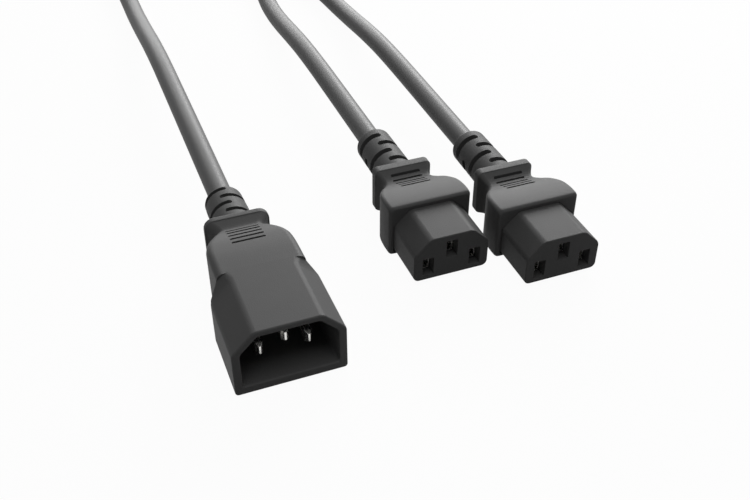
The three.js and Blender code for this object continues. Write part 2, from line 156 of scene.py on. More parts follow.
def makeCordTube(name, points):
    data = bpy.data.curves.new(name, "CURVE")
    data.dimensions = "3D"
    data.bevel_depth = cordDiameter / 2 * mm
    data.bevel_resolution = cordRimSteps
    data.use_fill_caps = True
    line = smoothLine(points, cordStretchSteps)
    spline = data.splines.new("POLY")
    spline.points.add(len(line) - 1)
    for point, place in zip(spline.points, line):
        point.co = (*(place * mm), 1)
    spline.use_smooth = True
    piece = bpy.data.objects.new(name, data)
    bpy.context.scene.collection.objects.link(piece)
    bpy.ops.object.select_all(action="DESELECT")
    piece.select_set(True)
    bpy.context.view_layer.objects.active = piece
    bpy.ops.object.convert(target="MESH")
    return bpy.context.active_object, [place * mm for place in line]


for key, facts in cordFacts.items():
    cord, cordLine = makeCordTube(key + "Cord", cordRoutes[key])
    cordLength = sum((b - a).length for a, b in zip(cordLine, cordLine[1:]))
    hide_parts(facts["node"])
    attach(cord, "root")
    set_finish(cord, "jacket")
    [v * mm for v in facts["exit"]]
    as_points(cordLine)
    print("cord", key, round(cordLength, 3), "m")


# Hand tools: select, pick, extrude, cut. Lengths are in mm.
touch = 0.01  # how near counts as the same place
over = 1  # how far a cutter runs past what it cuts
weld = 0.001  # points nearer than this become one
longStep = 0.02  # least way along Y of a long edge
facing = 0.9  # share of a normal along an axis that counts as facing it
flat = 0.95  # faces whose normals agree this well have no edge between them
bodySteps = 5  # sections in each stretch of a body
heightSteps = 8  # and where only its height is read
roundSides = 64


def selectOnly(piece):
    if bpy.context.mode != "OBJECT":
        bpy.ops.object.mode_set(mode="OBJECT")
    bpy.ops.object.select_all(action="DESELECT")
    piece.select_set(True)
    bpy.context.view_layer.objects.active = piece


def startEdit(piece):
    selectOnly(piece)
    bpy.ops.object.mode_set(mode="EDIT")


def stopEdit():
    bpy.ops.object.mode_set(mode="OBJECT")


def pickFaces(piece, test):
    bpy.ops.mesh.select_mode(type="FACE")
    bpy.ops.mesh.select_all(action="DESELECT")
    cage = bmesh.from_edit_mesh(piece.data)
    for face in cage.faces:
        face.select_set(test(face.calc_center_median() / mm, face.normal))
    bmesh.update_edit_mesh(piece.data)


def pickEdges(piece, test):
    bpy.ops.mesh.select_mode(type="EDGE")
    bpy.ops.mesh.select_all(action="DESELECT")
    cage = bmesh.from_edit_mesh(piece.data)
    for edge in cage.edges:
        start, end = [v.co / mm for v in edge.verts]
        edge.select_set(test(start, end, [face.normal for face in edge.link_faces]))
    bmesh.update_edit_mesh(piece.data)


def pickPoints(piece, test):
    bpy.ops.mesh.select_mode(type="VERT")
    bpy.ops.mesh.select_all(action="DESELECT")
    cage = bmesh.from_edit_mesh(piece.data)
    for point in cage.verts:
        point.select_set(test(point.co / mm))
    bmesh.update_edit_mesh(piece.data)


# Rounds the picked edges off by a width, in a number of segments.
def bevelEdges(piece, rounding, test):
    width, segments = rounding
    pickEdges(piece, test)
    bpy.ops.mesh.bevel(offset=width * mm, segments=segments, affect="EDGES", clamp_overlap=True)


# Long edges run from one section to the next, and all others lie in a section.
def alongY(start, end, normals=None):
    return abs(end.y - start.y) > longStep


# Names the piece just added and sets its size, with the place and turn taken into its mesh.
def settle(name, scale=(1, 1, 1)):
    piece = bpy.context.active_object
    piece.name = name
    piece.scale = scale
    bpy.ops.object.transform_apply(location=True, rotation=True, scale=True)
    return piece


def addBox(name, low, high):
    bpy.ops.mesh.primitive_cube_add(size=1, location=[(a + b) / 2 * mm for a, b in zip(low, high)])
    return settle(name, [(b - a) * mm for a, b in zip(low, high)])


# Upright plane facing -Y, the first section of what is then drawn out along +Y.
def addSection(name, y, half, top, bottom, centreX=0):
    bpy.ops.mesh.primitive_plane_add(
        size=1, location=(centreX * mm, y * mm, (top + bottom) / 2 * mm), rotation=(math.pi / 2, 0, 0),
    )
    return settle(name, (2 * half * mm, (top - bottom) * mm, 1))


def addDisc(name, y, radius, centreX, centreZ, sides):
    bpy.ops.mesh.primitive_circle_add(
        vertices=sides, radius=radius * mm, fill_type="NGON",
        location=(centreX * mm, y * mm, centreZ * mm), rotation=(math.pi / 2, 0, 0),
    )
    return settle(name)


# Draws the selected section on to a new place along +Y, with a new size about its own centre.
def drawOn(step, scaleX, scaleZ, centre):
    bpy.ops.mesh.extrude_region_move(TRANSFORM_OT_translate={"value": [v * mm for v in step]})
    bpy.ops.transform.resize(value=(scaleX, 1, scaleZ), center_override=[v * mm for v in centre])


def closeUp():
    bpy.ops.mesh.select_all(action="SELECT")
    bpy.ops.mesh.remove_doubles(threshold=weld * mm)
    bpy.ops.mesh.normals_make_consistent(inside=False)


# Sections between the stations of a body, never lower than the lowest station.
def bodyRings(stations, steps):
    rings = smoothLine(stations, steps)
    lowest = min(bottom for y, half, top, bottom in stations)
    for ring in rings:
        ring[3] = max(ring[3], lowest)
    return rings


# Height of a body's top at a distance along it.
def topAt(stations, y):
    rings = bodyRings(stations, heightSteps)
    for last, ring in zip(rings, rings[1:]):
        if last[0] <= y <= ring[0]:
            return last[2] + (ring[2] - last[2]) * (y - last[0]) / (ring[0] - last[0])
    return rings[-1][2]


# Box-like body through [y, half width, top, bottom] stations, with its long edges rounded.
def growBody(name, stations, corner, centreX=0):
    rings = bodyRings(stations, bodySteps)
    piece = addSection(name, *rings[0], centreX)
    startEdit(piece)
    bpy.ops.mesh.select_all(action="SELECT")
    for last, ring in zip(rings, rings[1:]):
        lastZ, z = (last[2] + last[3]) / 2, (ring[2] + ring[3]) / 2
        scaleZ = (ring[2] - ring[3]) / (last[2] - last[3])
        drawOn((0, ring[0] - last[0], z - lastZ), ring[1] / last[1], scaleZ, (centreX, ring[0], z))
    closeUp()
    bevelEdges(piece, corner, alongY)
    stopEdit()
    return piece


# Turned form through [y, radius] steps.
def turnBody(name, profile, centreX, centreZ, sides=roundSides):
    piece = addDisc(name, *profile[0], centreX, centreZ, sides)
    startEdit(piece)
    bpy.ops.mesh.select_all(action="SELECT")
    for (lastY, lastR), (y, r) in zip(profile, profile[1:]):
        drawOn((0, y - lastY, 0), r / lastR, r / lastR, (centreX, y, centreZ))
    closeUp()
    stopEdit()
    return piece


def applyModifier(piece, kind, **settings):
    selectOnly(piece)
    modifier = piece.modifiers.new(kind.title(), kind)
    for key, value in settings.items():
        setattr(modifier, key, value)
    bpy.ops.object.modifier_apply(modifier=modifier.name)


def combine(piece, tool, operation):
    applyModifier(piece, "BOOLEAN", operation=operation, solver="MANIFOLD", object=tool)
    bpy.data.objects.remove(tool)


def joinPieces(pieces):
    selectOnly(pieces[0])
    for piece in pieces:
        piece.select_set(True)
    bpy.ops.object.join()
    return pieces[0]


slotTool = {"arcSteps": 6, "endFlat": 0.02, "endSegments": 5, "square": 0.3, "slack": 0.05}


# Curved slot round a line along Y: a rectangle spun about the line, and its ends rounded off.
def slotCutter(y, width, inner, outer, fromAngle, arc, centreX, centreZ):
    middle, start = (inner + outer) / 2, math.radians(fromAngle)
    x, z = centreX + middle * math.cos(start), centreZ + middle * math.sin(start)
    bpy.ops.mesh.primitive_plane_add(
        size=1, rotation=(0, -start, 0), location=(x * mm, y * mm, z * mm),
    )
    cutter = settle("slotCutter", ((outer - inner) * mm, width * mm, 1))
    startEdit(cutter)
    bpy.ops.mesh.select_all(action="SELECT")
    centre = (centreX * mm, y * mm, centreZ * mm)
    bpy.ops.mesh.spin(steps=slotTool["arcSteps"], angle=math.radians(arc), center=centre, axis=(0, 1, 0))
    closeUp()

    def endEdge(a, b, normals):
        if abs(a.y - b.y) > touch or len(normals) != 2:
            return False
        square = abs(normals[0].dot(normals[1])) < slotTool["square"]
        radial = abs((a - b).length - (outer - inner)) < slotTool["slack"]
        return square and radial and max(abs(n.y) for n in normals) > facing

    bevelEdges(cutter, (width / 2 - slotTool["endFlat"], slotTool["endSegments"]), endEdge)
    stopEdit()
    return cutter


# Plug: hood with recess, body, grip plate and slotted relief, in mm from the hood's front face.
# Stations are (y, half width, top, bottom), and roundings are (width, segments).
plugShape = {
    "place": (0, -13, 0),
    "axis": 10.9,
    "hood": (31.3, 26, 20.8),  # width, depth, height
    "chamfer": (5.5, 6.3),  # across, down
    "wall": 2.3,
    "recessDrop": 0.45,
    "recessDepth": 17,
    "rearSlope": 3,
    "rearChamfer": 1.7,
    "outerRound": (1.5, 5),
    "recessRound": (1, 4),
    "rimOutside": (0.55, 3),
    "rimInside": (0.95, 4),
    "slopeRound": (1.2, 4),
    "stations": [
        (25.5, 12.75, 20.75, 0.5), (33, 12.75, 20.6, 0.6), (38, 12.6, 20.2, 0.7),
        (41, 11.9, 19.8, 0.9), (43.5, 10.8, 19.2, 1.2), (46, 9.3, 18.4, 1.7),
        (48.3, 7.9, 17.4, 2.3), (50, 7.4, 16.9, 2.6), (53.2, 9.6, 18, 1.5),
    ],
    "corner": (2.2, 5),
    "grip": {"start": 53, "end": 55.2, "half": 9.9, "top": 18.2, "bottom": 1.2, "corner": (3.2, 6)},
    "relief": {"end": 72.8, "root": 6.45, "tip": 6.05, "row": 58.75, "pitch": 3.88, "slot": 1.65, "round": 2},
    "grooves": [38.6, 40.75, 42.9, 45.05, 47.2],
    "chamber": [(16, 10.4, 16.65, 5.05), (37.5, 10.4, 16.65, 5.05), (46.5, 4.4, 14.7, 7.1)],
    "boreStart": 45,
}

# Socket: body, grip plate and slotted relief, in mm from the nose's front face and underside.
socketShape = {
    "axis": 7.8,
    "stations": [
        (16, 12.7, 15.6, -0.7), (16.4, 13.2, 16.1, -1.2), (17.3, 13.5, 16.4, -1.5),
        (21, 13.55, 16.3, -1.5), (25, 13.1, 15.8, -1.5), (28.5, 11.5, 14.9, -1.1),
        (31, 9.6, 13.8, -0.3), (33.5, 8.3, 12.9, 0.5), (35.5, 8.1, 13.1, 0.6), (38.2, 9.4, 14.9, -0.3),
    ],
    "corner": (1.2, 5),
    "grip": {"start": 38.1, "end": 41.3, "half": 9.6, "top": 15.1, "bottom": -0.5, "corner": (1.8, 6)},
    "relief": {"end": 64.8, "root": 6.35, "tip": 6.15, "row": 45.4, "pitch": 5.02, "slot": 2.2, "round": 0.8},
    "grooves": [27.9, 30, 32.1, 34.4, 36.3],
    "chamber": [(21.5, 10, 12.55, 1.7), (28.3, 10, 12.55, 1.7), (36.5, 4.4, 11.6, 4)],
    "boreStart": 35,
    "nose": (24.1, 22, 14.55),  # width, length, height
    "chamfer": (5.25, 5.15),
    "pocketStart": 15,
    "noseCorner": (1.1, 5),
    "noseFoot": (1.8, 6),
    "faceRound": (0.35, 3),
    "slotRound": (0.3, 2),
    "slotLip": (0.15, 2),
    "slot": (3.6, 6.1),
    "slotPlaces": [(-7.5, 4.75), (0, 9.5), (7.5, 4.75)],
    "gap": 0.08,
}
socketPlaces = {"a": (57.1, 11.3, 1.5), "b": (87.2, -1.5, 1.5)}

# What the reliefs, grip plates and grooves of all connectors share.
reliefShape = {
    "rows": 4, "arc": 118, "floor": 4.3, "phase": 50, "seat": 0.4, "past": 2, "tipSteps": 6,
    "edge": 0.15, "edgeSegments": 2, "edgeAngle": 50,
}
gripShape = {"frontRound": (0.35, 3), "rearRound": (0.6, 3)}
grooveShape = {"half": 5, "width": 0.85, "depth": 0.75, "above": 2, "endRound": (0.3825, 3)}
boreRadius = 3.86


# Rows of two opposite slots, each row a quarter turn from the one before it.
def cutSlots(sleeve, rows, firstRow, pitch, width, outer, centreX, centreZ):
    cutters = []
    for row in range(rows):
        rib = reliefShape["phase"] + 90 * ((row + 1) % 2)
        for turn in (0, 180):
            fromAngle = rib + turn + (180 - reliefShape["arc"]) / 2
            cutters.append(slotCutter(
                firstRow + row * pitch, width, reliefShape["floor"], outer,
                fromAngle, reliefShape["arc"], centreX, centreZ,
            ))
    combine(sleeve, joinPieces(cutters), "DIFFERENCE")
    applyModifier(
        sleeve, "BEVEL", width=reliefShape["edge"] * mm, segments=reliefShape["edgeSegments"],
        limit_method="ANGLE", angle_limit=math.radians(reliefShape["edgeAngle"]),
    )


def makeRelief(name, place, shape):
    relief, grip = shape["relief"], shape["grip"]
    x, y, z = place[0], place[1], place[2] + shape["axis"]
    tipRound, end, steps = relief["round"], y + relief["end"], reliefShape["tipSteps"]
    profile = [
        (y + grip["start"] + reliefShape["seat"], relief["root"]), (y + grip["end"], relief["root"]),
        (end - tipRound, relief["tip"]),
    ]
    for k in range(1, steps + 1):
        angle = math.pi / 2 * k / steps
        inset = tipRound * (1 - math.cos(angle))
        profile.append((end - tipRound * (1 - math.sin(angle)), relief["tip"] - inset))
    sleeve = turnBody(name, profile, x, z)
    cutSlots(
        sleeve, reliefShape["rows"], y + relief["row"], relief["pitch"], relief["slot"],
        relief["root"] + reliefShape["past"], x, z,
    )
    return sleeve


def makeGrip(name, place, grip):
    x, y, z = place
    plate = addBox(
        name, (x - grip["half"], y + grip["start"], z + grip["bottom"]),
        (x + grip["half"], y + grip["end"], z + grip["top"]),
    )
    startEdit(plate)
    bevelEdges(plate, grip["corner"], alongY)
    front, rear = y + grip["start"] + touch, y + grip["end"] - touch
    bevelEdges(plate, gripShape["frontRound"], lambda a, b, normals: max(a.y, b.y) < front)
    bevelEdges(plate, gripShape["rearRound"], lambda a, b, normals: min(a.y, b.y) > rear)
    stopEdit()
    return plate


def cutGrooves(body, place, shape):
    x, y, z = place
    half, width, depth = grooveShape["half"], grooveShape["width"], grooveShape["depth"]
    cutters = []
    for along in shape["grooves"]:
        middle, top = y + along, z + topAt(shape["stations"], along)
        cutter = addBox(
            "groove", (x - half, middle - width / 2, top - depth),
            (x + half, middle + width / 2, top + grooveShape["above"]),
        )
        startEdit(cutter)
        bevelEdges(cutter, grooveShape["endRound"], lambda a, b, normals: abs(a.z - b.z) > depth)
        stopEdit()
        cutters.append(cutter)
    combine(body, joinPieces(cutters), "DIFFERENCE")


# Tool for the hollow that holds the cores, through [y, half width, top, bottom] sections.
def makeChamber(place, sections):
    x, y, z = place
    (start, half, top, bottom), *rest = sections
    chamber = addSection("chamber", y + start, half, z + top, z + bottom, x)
    startEdit(chamber)
    bpy.ops.mesh.select_all(action="SELECT")
    lastTop, lastBottom, lastHalf, lastY = top, bottom, half, start
    for along, half, top, bottom in rest:
        middle, lastMiddle = (top + bottom) / 2, (lastTop + lastBottom) / 2
        scaleZ = (top - bottom) / (lastTop - lastBottom)
        drawOn((0, along - lastY, middle - lastMiddle), half / lastHalf, scaleZ, (x, y + along, z + middle))
        lastTop, lastBottom, lastHalf, lastY = top, bottom, half, along
    closeUp()
    stopEdit()
    return chamber


# Hollow behind the blades or contacts, and the bore that the cord enters by.
def hollowOut(shell, place, shape):
    x, y, z = place
    combine(shell, makeChamber(place, shape["chamber"]), "DIFFERENCE")
    axis = z + shape["axis"]
    bore = turnBody(
        "bore", [(y + shape["boreStart"], boreRadius), (y + shape["relief"]["end"] + over, boreRadius)],
        x, axis,
    )
    combine(shell, bore, "DIFFERENCE")


smoothing = {"angle": 35, "weight": 50}


def smoothOff(piece):
    selectOnly(piece)
    bpy.ops.object.shade_smooth_by_angle(angle=math.radians(smoothing["angle"]))
    applyModifier(piece, "WEIGHTED_NORMAL", keep_sharp=True, weight=smoothing["weight"])


# Six-sided prism, a box with its two upper long edges cut off flat.
def makeHexBlock(name, place, size, chamfer):
    x, y, z = place
    width, depth, height = size
    block = addBox(name, (x - width / 2, y, z), (x + width / 2, y + depth, z + height))
    across, down = chamfer
    startEdit(block)
    for side in (-1, 1):
        bpy.ops.mesh.select_all(action="SELECT")
        bpy.ops.mesh.bisect(
            plane_co=((x + side * width / 2) * mm, y * mm, (z + height - down) * mm),
            plane_no=(side * down, 0, across), use_fill=True, clear_outer=True,
        )
    closeUp()
    stopEdit()
    return block


# Hood whose rear end slopes in to the body and turns into its rounded box.
def makeHood(shape):
    x, y, z = shape["place"]
    width, depth, height = shape["hood"]
    across, down = shape["chamfer"]
    slope, rearHalf, rearChamfer = shape["rearSlope"], shape["stations"][0][1], shape["rearChamfer"]
    hood = makeHexBlock("plugShell", shape["place"], (width, depth - slope, height), shape["chamfer"])
    startEdit(hood)
    pickFaces(hood, lambda c, n: n.y > facing)
    narrow = 2 * rearHalf / width
    drawOn((0, slope, 0), narrow, 1, (x, y, z))
    rear = y + depth - touch
    shift = rearHalf - rearChamfer - (width / 2 - across) * narrow
    for side in (-1, 1):
        pickPoints(hood, lambda v: v.y > rear and v.z > z + height - touch and v.x * side > 0)
        bpy.ops.transform.translate(value=(side * shift * mm, 0, 0))
    pickPoints(hood, lambda v: v.y > rear and abs(v.z - z - height + down) < touch)
    bpy.ops.transform.translate(value=(0, 0, (down - rearChamfer) * mm))
    return hood


def cutRecess(hood, shape):
    pickFaces(hood, lambda c, n: n.y < -facing)
    bpy.ops.mesh.inset(thickness=shape["wall"] * mm, depth=0)
    bpy.ops.transform.translate(value=(0, 0, shape["recessDrop"] * mm))
    bpy.ops.mesh.extrude_region_move(TRANSFORM_OT_translate={"value": (0, shape["recessDepth"] * mm, 0)})
    closeUp()


def roundHood(hood, shape):
    x, y, z = shape["place"]
    width, depth, height = shape["hood"]
    slopeStart = y + depth - shape["rearSlope"]
    centre = Vector((x, 0, z + height / 2))

    recessEnd = y + shape["recessDepth"] + touch

    def inside(a, b):
        across = max(abs(a.x), abs(b.x)) < width / 2 - over
        upright = min(a.z, b.z) > z + over and max(a.z, b.z) < z + height - over
        return across and upright and max(a.y, b.y) < recessEnd

    def corner(normals):
        return len(normals) == 2 and normals[0].dot(normals[1]) < flat

    def rimEdge(a, b, normals, outward):
        if max(a.y, b.y) > y + touch or len(normals) != 2:
            return False
        side = min(normals, key=lambda n: abs(n.y))
        away = (a + b) / 2 - centre
        away.y = 0
        return abs(side.y) < 1 - facing and (side.dot(away) > 0) == outward

    def slopeEdge(a, b, normals):
        return max(abs(a.y - slopeStart), abs(b.y - slopeStart)) < touch and corner(normals)

    bevelEdges(hood, shape["outerRound"], lambda a, b, normals: alongY(a, b) and not inside(a, b))
    bevelEdges(
        hood, shape["recessRound"], lambda a, b, normals: alongY(a, b) and corner(normals) and inside(a, b),
    )
    bevelEdges(hood, shape["rimOutside"], lambda a, b, normals: rimEdge(a, b, normals, True))
    bevelEdges(hood, shape["rimInside"], lambda a, b, normals: rimEdge(a, b, normals, False))
    bevelEdges(hood, shape["slopeRound"], slopeEdge)
    stopEdit()


def makePlugShell():
    shape = plugShape
    x, y, z = shape["place"]
    hood = makeHood(shape)
    cutRecess(hood, shape)
    roundHood(hood, shape)
    stations = [(y + d, half, z + top, z + bottom) for d, half, top, bottom in shape["stations"]]
    body = growBody("plugBody", stations, shape["corner"], x)
    cutGrooves(body, shape["place"], shape)
    combine(hood, body, "UNION")
    combine(hood, makeGrip("plugGrip", shape["place"], shape["grip"]), "UNION")
    combine(hood, makeRelief("plugRelief", shape["place"], shape), "UNION")
    hollowOut(hood, shape["place"], shape)
    smoothOff(hood)
    return hood


def makeSocketShell():
    shape = socketShape
    place = (0, 0, 0)
    body = growBody("socketShell", shape["stations"], shape["corner"])
    cutGrooves(body, place, shape)
    combine(body, makeGrip("socketGrip", place, shape["grip"]), "UNION")
    combine(body, makeRelief("socketRelief", place, shape), "UNION")
    gap, start = shape["gap"], shape["pocketStart"]
    width, length, height = shape["nose"]
    size = (width + 2 * gap, length - start + gap, height + 2 * gap)
    combine(body, makeHexBlock("nosePocket", (0, start, -gap), size, shape["chamfer"]), "DIFFERENCE")
    hollowOut(body, place, shape)
    smoothOff(body)
    return body


def makeNoseInsert():
    shape = socketShape
    nose = makeHexBlock("noseInsert", (0, 0, 0), shape["nose"], shape["chamfer"])
    startEdit(nose)
    bevelEdges(nose, shape["noseCorner"], lambda a, b, normals: alongY(a, b) and a.z > over)
    bevelEdges(nose, shape["noseFoot"], lambda a, b, normals: alongY(a, b) and a.z < over)
    bevelEdges(nose, shape["faceRound"], lambda a, b, normals: max(a.y, b.y) < touch)
    stopEdit()
    width, height = shape["slot"]
    for x, z in shape["slotPlaces"]:
        cutter = addBox(
            "slotTool", (x - width / 2, -over, z - height / 2),
            (x + width / 2, shape["nose"][1] + over, z + height / 2),
        )
        startEdit(cutter)
        bevelEdges(cutter, shape["slotRound"], alongY)
        stopEdit()
        combine(nose, cutter, "DIFFERENCE")

    def lipEdge(a, b, normals):
        return max(a.y, b.y) < touch and len(normals) == 2 and min(abs(n.y) for n in normals) < 1 - facing

    startEdit(nose)
    bevelEdges(nose, shape["slotLip"], lipEdge)
    stopEdit()
    smoothOff(nose)
    return nose


# Blades and their crimp barrels, in mm from the hood's front face.
bladeShape = {
    "tip": 5.5, "width": 2, "height": 4, "rear": 31.9,
    "bevelSide": 0.72, "bevelTop": 0.7, "bevelLength": 1.2, "earthLead": 1.3, "edgeRound": (0.1, 2),
    "barrelStart": 31, "barrelEnd": 36.5, "barrelRadius": 2.2, "barrelBore": 1.5, "barrelSides": 32,
    "places": {"line": (-6.8, 8.85), "earth": (0, 12.85), "neutral": (6.8, 8.85)},
}


def makeBlade(name, x, z, lead):
    shape, y = bladeShape, plugShape["place"][1]
    tip, rear = y + shape["tip"] - lead, y + shape["rear"]
    front = tip + shape["bevelLength"]
    halfWidth, halfHeight = shape["width"] / 2, shape["height"] / 2
    tipWidth, tipHeight = halfWidth - shape["bevelSide"], halfHeight - shape["bevelTop"]
    blade = addSection(name, tip, tipWidth, z + tipHeight, z - tipHeight, x)
    startEdit(blade)
    bpy.ops.mesh.select_all(action="SELECT")
    drawOn((0, shape["bevelLength"], 0), halfWidth / tipWidth, halfHeight / tipHeight, (x, front, z))
    drawOn((0, rear - front, 0), 1, 1, (x, rear, z))
    closeUp()
    bevelEdges(blade, shape["edgeRound"], lambda a, b, normals: max(a.y, b.y) < front + touch)
    stopEdit()
    start, end, sides = y + shape["barrelStart"], y + shape["barrelEnd"], shape["barrelSides"]
    barrel = turnBody("barrel", [(start, shape["barrelRadius"]), (end, shape["barrelRadius"])], x, z, sides)
    combine(blade, barrel, "UNION")
    hole = [(start + over, shape["barrelBore"]), (end + over, shape["barrelBore"])]
    combine(blade, turnBody("barrelBore", hole, x, z, sides), "DIFFERENCE")
    smoothOff(blade)
    return blade


# Carrier behind the recess, which holds the blades.
carrierShape = {
    "half": 10.1, "low": 5.35, "high": 16.35, "start": 17, "end": 25.7, "window": (2.3, 4.3),
    "edgeRound": (0.3, 2),
}


def makeCarrier():
    shape, y = carrierShape, plugShape["place"][1]
    low = (-shape["half"], y + shape["start"], shape["low"])
    carrier = addBox("plugCarrier", low, (shape["half"], y + shape["end"], shape["high"]))
    startEdit(carrier)
    bevelEdges(carrier, shape["edgeRound"], lambda a, b, normals: True)
    stopEdit()
    width, height = shape["window"]
    for x, z in bladeShape["places"].values():
        window = addBox(
            "window", (x - width / 2, y + shape["start"] - over, z - height / 2),
            (x + width / 2, y + shape["end"] + over, z + height / 2),
        )
        combine(carrier, window, "DIFFERENCE")
    smoothOff(carrier)
    return carrier


# Y junction, in mm from its leg end.
junctionShape = {
    "place": (72.15, 282, 0),
    "axis": 7.5,
    "length": 46,
    "stations": [
        (0, 15.3, 13.8, 1.2), (0.8, 16.1, 14.6, 0.4), (2.2, 16.5, 15, 0), (12, 16.5, 15, 0),
        (21, 16.2, 15, 0), (27, 14.9, 15, 0), (33, 12.2, 15, 0), (39, 10.1, 15, 0),
        (43.6, 9.5, 15, 0), (45.2, 9.1, 14.6, 0.4), (46, 8.3, 13.8, 1.2),
    ],
    "corner": (3, 5),
    "legSpread": 8,
    "relief": {
        "length": 15, "root": 6.4, "tip": 5.4, "slot": 1.3, "pitch": 4.2, "rows": 3, "first": 2,
        "seat": 4, "foot": 1, "tipCut": 0.5,
    },
    "chamber": [(1.5, 12.8, 11.5, 3.5), (20, 12.8, 11.5, 3.5), (31, 7.7, 11.5, 3.5), (43, 4.4, 11.5, 3.5)],
}


# Relief that leaves the junction at a foot along Y, towards +Y where way is 1 and -Y where it is -1.
def makeSleeve(centreX, axis, foot, way):
    relief = junctionShape["relief"]
    reach, cut, pitch = relief["length"], relief["tipCut"], relief["pitch"]
    profile = sorted([
        (foot - way * relief["seat"], relief["root"]), (foot - way * relief["foot"], relief["root"]),
        (foot + way * (reach - cut), relief["tip"]), (foot + way * reach, relief["tip"] - cut),
    ])
    sleeve = turnBody("sleeve", profile, centreX, axis)
    outerRow = foot + way * (reach - relief["first"])
    firstRow = min(outerRow, outerRow - way * (relief["rows"] - 1) * pitch)
    cutSlots(
        sleeve, relief["rows"], firstRow, pitch, relief["slot"], relief["root"] + over, centreX, axis,
    )
    return sleeve


def makeJunction():
    shape, relief = junctionShape, junctionShape["relief"]
    x, y, z = shape["place"]
    axis, spread = z + shape["axis"], shape["legSpread"]
    stations = [(y + d, half, z + top, z + bottom) for d, half, top, bottom in shape["stations"]]
    body = growBody("junctionShell", stations, shape["corner"], x)
    exits = [(x - spread, y, -1), (x + spread, y, -1), (x, y + shape["length"], 1)]
    for centreX, foot, way in exits:
        combine(body, makeSleeve(centreX, axis, foot, way), "UNION")
    combine(body, makeChamber(shape["place"], shape["chamber"]), "DIFFERENCE")
    for centreX, foot, way in exits:
        ends = sorted([foot - way * relief["seat"], foot + way * (relief["length"] + over)])
        combine(body, turnBody("bore", [(end, boreRadius) for end in ends], centreX, axis), "DIFFERENCE")
    smoothOff(body)
    return body


def copyTo(piece, name, place):
    twin = piece.copy()
    twin.data = piece.data.copy()
    twin.name = name
    bpy.context.scene.collection.objects.link(twin)
    selectOnly(twin)
    twin.location = [v * mm for v in place]
    bpy.ops.object.transform_apply(location=True, rotation=True, scale=True)
    return twin


def placePiece(piece, nodes, slot):
    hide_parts(*nodes)
    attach(piece, "root")
    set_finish(piece, slot)


plugShell = makePlugShell()
placePiece(plugShell, ["plug_shell"], "shell")
print("plug shell made:", len(plugShell.data.polygons), "faces")
socketMaster = makeSocketShell()
insertMaster = makeNoseInsert()
for side, place in socketPlaces.items():
    shell = copyTo(socketMaster, "socketShell" + side.upper(), place)
    placePiece(shell, [f"socket_{side}_shell"], "shell")
    insert = copyTo(insertMaster, "noseInsert" + side.upper(), place)
    placePiece(insert, [f"socket_{side}_insert"], "carrier")
bpy.data.objects.remove(socketMaster)
bpy.data.objects.remove(insertMaster)
print("sockets made")
for pole, (bladeX, bladeZ) in bladeShape["places"].items():
    lead = bladeShape["earthLead"] if pole == "earth" else 0
    blade = makeBlade("blade" + pole.title(), bladeX, bladeZ, lead)
    placePiece(blade, ["plug_blade_" + pole], "metal")
plugCarrier = makeCarrier()
placePiece(plugCarrier, ["plug_carrier"], "carrier")
junctionShell = makeJunction()
placePiece(junctionShell, ["junction_shell"], "shell")
print("blades and junction made")


# Shader maths: an expression on wires adds its Math nodes.
class Wire:
    def __init__(self, tree, socket):
        self.tree = tree
        self.socket = socket

    def math(self, operation, a, b):
        node = self.tree.nodes.new("ShaderNodeMath")
        node.operation = operation
        for slot, value in zip(node.inputs, (a, b)):
            if isinstance(value, Wire):
                self.tree.links.new(value.socket, slot)
            else:
                slot.default_value = value
        return Wire(self.tree, node.outputs[0])

    def __add__(self, other):
        return self.math("ADD", self, other)

    def __radd__(self, other):
        return self.math("ADD", other, self)

    def __mul__(self, other):
        return self.math("MULTIPLY", self, other)


# Sockets of the Mix node that carry a colour.
mixSlots = {"factor": 0, "first": 6, "second": 7, "result": 2}


# One material's node tree with a Principled shader.
class Finish:
    def __init__(self, name):
        self.material = bpy.data.materials.new(name)
        self.material.use_nodes = True
        self.tree = self.material.node_tree
        self.shader = self.tree.nodes["Principled BSDF"]
        self.place = self.node("ShaderNodeTexCoord", "Object")

    # Adds a node: its settings first, then the values or links of its sockets.
    def node(self, kind, output=0, settings=None, **sockets):
        node = self.tree.nodes.new(kind)
        for key, value in (settings or {}).items():
            setattr(node, key, value)
        for key, value in sockets.items():
            self.feed(node.inputs[key.replace("_", " ")], value)
        return Wire(self.tree, node.outputs[output])

    def feed(self, slot, value):
        if isinstance(value, Wire):
            self.tree.links.new(value.socket, slot)
        else:
            slot.default_value = value

    def noise(self, size, detail=2, roughness=0.5, stretch=None):
        place = self.place
        if stretch:
            place = self.node("ShaderNodeMapping", Vector=place, Scale=stretch)
        return self.node(
            "ShaderNodeTexNoise", "Fac",
            Vector=place, Scale=1 / (size * mm), Detail=detail, Roughness=roughness,
        )

    def mixColours(self, factor, first, second):
        node = self.tree.nodes.new("ShaderNodeMix")
        node.data_type = "RGBA"
        self.feed(node.inputs[mixSlots["factor"]], factor)
        self.feed(node.inputs[mixSlots["first"]], first)
        self.feed(node.inputs[mixSlots["second"]], second)
        return Wire(self.tree, node.outputs[mixSlots["result"]])

    def bump(self, height, distance):
        normal = self.node("ShaderNodeBump", "Normal", Height=height, Distance=distance * mm, Strength=1)
        self.feed(self.shader.inputs["Normal"], normal)

    def set(self, **sockets):
        for key, value in sockets.items():
            self.feed(self.shader.inputs[key.replace("_", " ")], value)

    # Lays a second shader over the first one, by a factor from 0 to 1.
    def cover(self, factor, shader):
        mix = self.tree.nodes.new("ShaderNodeMixShader")
        for slot, value in zip(mix.inputs, (factor, Wire(self.tree, self.shader.outputs[0]), shader)):
            self.feed(slot, value)
        self.feed(self.tree.nodes["Material Output"].inputs["Surface"], Wire(self.tree, mix.outputs[0]))


def grey(level):
    return (level, level, level, 1)


